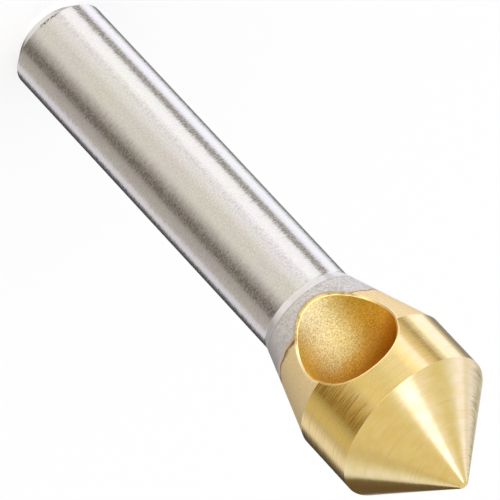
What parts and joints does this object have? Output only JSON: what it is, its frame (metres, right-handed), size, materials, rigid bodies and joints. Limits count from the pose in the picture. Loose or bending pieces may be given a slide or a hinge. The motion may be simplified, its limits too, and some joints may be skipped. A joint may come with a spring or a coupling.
{
  "type": "countersink bit",
  "caption": "Solid countersink bit with a round ground shank, a sloped shoulder and a gold-coated conical point, pierced by an oblique chip hole whose front mouth is the cutting lip.",
  "frame": {"origin": "middle of the shank's flat end face, which the bit stands on", "axes": "+Z runs along the tool's axis from the shank end to the point; the oblique chip hole lies in the YZ plane, with its rear mouth towards -Y and its front mouth, which has the cutting lip, towards +Y"},
  "size_m": [0.0206, 0.0206, 0.0811],
  "materials": {
    "tool_steel": "satin ground tool steel on the shank; the head from halfway up the shoulder has a thin gold titanium nitride coating, fine turning marks on the land and cone, and a grainy wall in the chip hole"
  },
  "bodies": {
    "root": {"countersink_bit": "tool_steel"}
  },
  "joints": []
}
